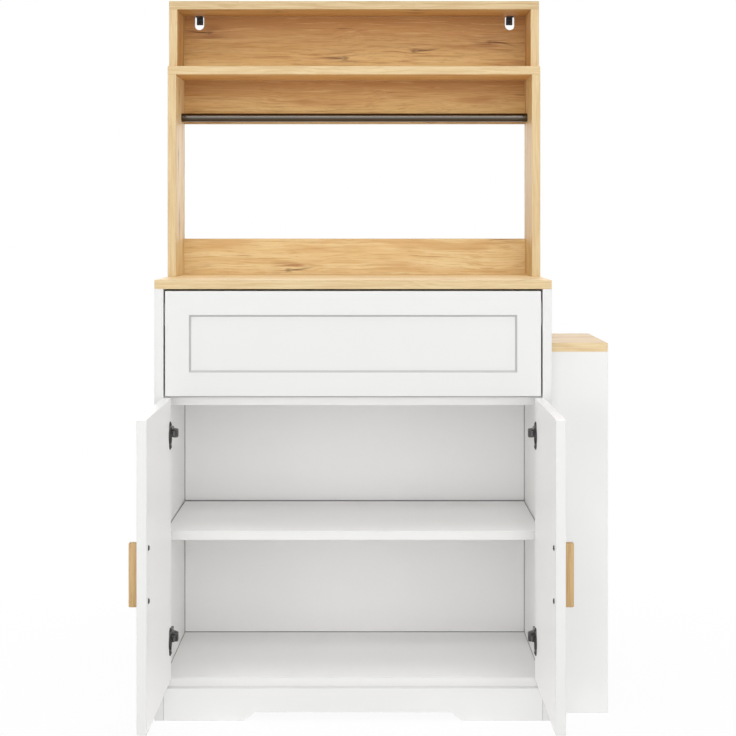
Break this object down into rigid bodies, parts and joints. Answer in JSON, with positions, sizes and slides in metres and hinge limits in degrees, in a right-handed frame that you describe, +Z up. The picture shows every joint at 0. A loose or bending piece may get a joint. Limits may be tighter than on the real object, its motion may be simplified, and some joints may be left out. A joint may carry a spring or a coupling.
{
  "type": "kitchen hutch cabinet",
  "caption": "White kitchen cabinet with oak-look worktop and hutch, framed drawer, inset doors on concealed hinges, shelf, hook rail and a pull-out table leaf on a hollow leg.",
  "frame": {"origin": "on the floor, at the middle of the footprint at rest, with both doors open and the leaf pushed in", "axes": "+Z up, -Y out of the front, +X to the right seen from the front, the way the leaf pulls out"},
  "size_m": [0.921, 0.78, 1.482],
  "materials": {
    "white_board": "satin white laminate",
    "white_hardboard": "matt white hardboard",
    "oak_board": "satin oak-look laminate",
    "handle_oak": "satin oak-look",
    "black_metal": "satin black",
    "dark_steel": "dark nickel",
    "zinc_steel": "zinc plated",
    "beech_dowel": "raw beech",
    "grey_nylon": "matt nylon"
  },
  "bodies": {
    "cabinet": {"base_side_left": "white_board", "base_side_right": "white_board", "base_bottom": "white_board", "base_divider": "white_board", "toe_kick": "white_board", "base_back": "white_hardboard", "base_shelf": "white_board", "shelf_pins": "zinc_steel", "countertop": "oak_board", "leaf_carriers": "white_board", "hutch_side_left": "oak_board", "hutch_side_right": "oak_board", "hutch_mid_shelf": "oak_board", "hutch_upper_side_left": "oak_board", "hutch_upper_side_right": "oak_board", "hutch_top": "oak_board", "hutch_upper_back": "oak_board", "hutch_valance": "oak_board", "hutch_splashback": "oak_board", "hook_rail": "black_metal", "wall_brackets": "black_metal", "wall_bracket_screws": "zinc_steel", "slide_outers": "zinc_steel", "slide_screws": "zinc_steel", "hinge_plates": "dark_steel", "hinge_arms": "dark_steel", "hinge_plate_screws": "dark_steel", "cam_fittings": "zinc_steel", "wood_dowels": "beech_dowel", "back_panel_screws": "zinc_steel"},
    "drawer": {"drawer_front": "white_board", "drawer_box_front": "white_board", "drawer_side_left": "white_board", "drawer_side_right": "white_board", "drawer_back": "white_board", "drawer_bottom": "white_hardboard", "drawer_screws": "zinc_steel", "slide_inners": "zinc_steel"},
    "runner_middles": {"slide_middles": "zinc_steel"},
    "door_left": {"left_door": "white_board", "left_handle": "handle_oak", "left_door_screws": "dark_steel", "left_hinge_cups": "dark_steel"},
    "links_left": {"left_hinge_links": "dark_steel"},
    "door_right": {"right_door": "white_board", "right_handle": "handle_oak", "right_door_screws": "dark_steel", "right_hinge_cups": "dark_steel"},
    "links_right": {"right_hinge_links": "dark_steel"},
    "table": {"table_leaf": "oak_board", "leaf_stop": "white_board", "leg_front": "white_board", "leg_back": "white_board", "leg_inner": "white_board", "leg_outer": "white_board", "leg_base": "white_board", "roller_forks": "zinc_steel"},
    "roller_front": {"leg_roller_front": "grey_nylon"},
    "roller_rear": {"leg_roller_rear": "grey_nylon"}
  },
  "joints": [
    {"name": "drawer_slide", "type": "slide", "parent": "cabinet", "child": "drawer", "axis": [0, -1, 0], "range_m": [0, 0.3]},
    {"name": "runner_slide", "type": "slide", "parent": "cabinet", "child": "runner_middles", "axis": [0, -1, 0], "range_m": [0, 0.15]},
    {"name": "left_door_swing", "type": "hinge", "parent": "cabinet", "child": "door_left", "pos_m": [-0.442, -0.0085, 0.367], "axis": [0, 0, 1], "range_deg": [-12, 90]},
    {"name": "left_link_swing", "type": "hinge", "parent": "cabinet", "child": "links_left", "pos_m": [-0.4201, 0.0025, 0.367], "axis": [0, 0, 1], "range_deg": [-12, 90]},
    {"name": "right_door_swing", "type": "hinge", "parent": "cabinet", "child": "door_right", "pos_m": [0.323, -0.0085, 0.367], "axis": [0, 0, -1], "range_deg": [-12, 90]},
    {"name": "right_link_swing", "type": "hinge", "parent": "cabinet", "child": "links_right", "pos_m": [0.3011, 0.0025, 0.367], "axis": [0, 0, -1], "range_deg": [-12, 90]},
    {"name": "table_pull", "type": "slide", "parent": "cabinet", "child": "table", "axis": [1, 0, 0], "range_m": [0, 0.5]},
    {"name": "front_roller_spin", "type": "hinge", "parent": "table", "child": "roller_front", "pos_m": [0.40075, 0.098, 0.02], "axis": [0, 1, 0], "continuous": true},
    {"name": "rear_roller_spin", "type": "hinge", "parent": "table", "child": "roller_rear", "pos_m": [0.40075, 0.282, 0.02], "axis": [0, 1, 0], "continuous": true}
  ],
  "couplings": [
    {"joint": "runner_slide", "follows": "drawer_slide", "ratio": 0.5},
    {"joint": "left_link_swing", "follows": "left_door_swing", "ratio": 1},
    {"joint": "right_link_swing", "follows": "right_door_swing", "ratio": 1}
  ]
}
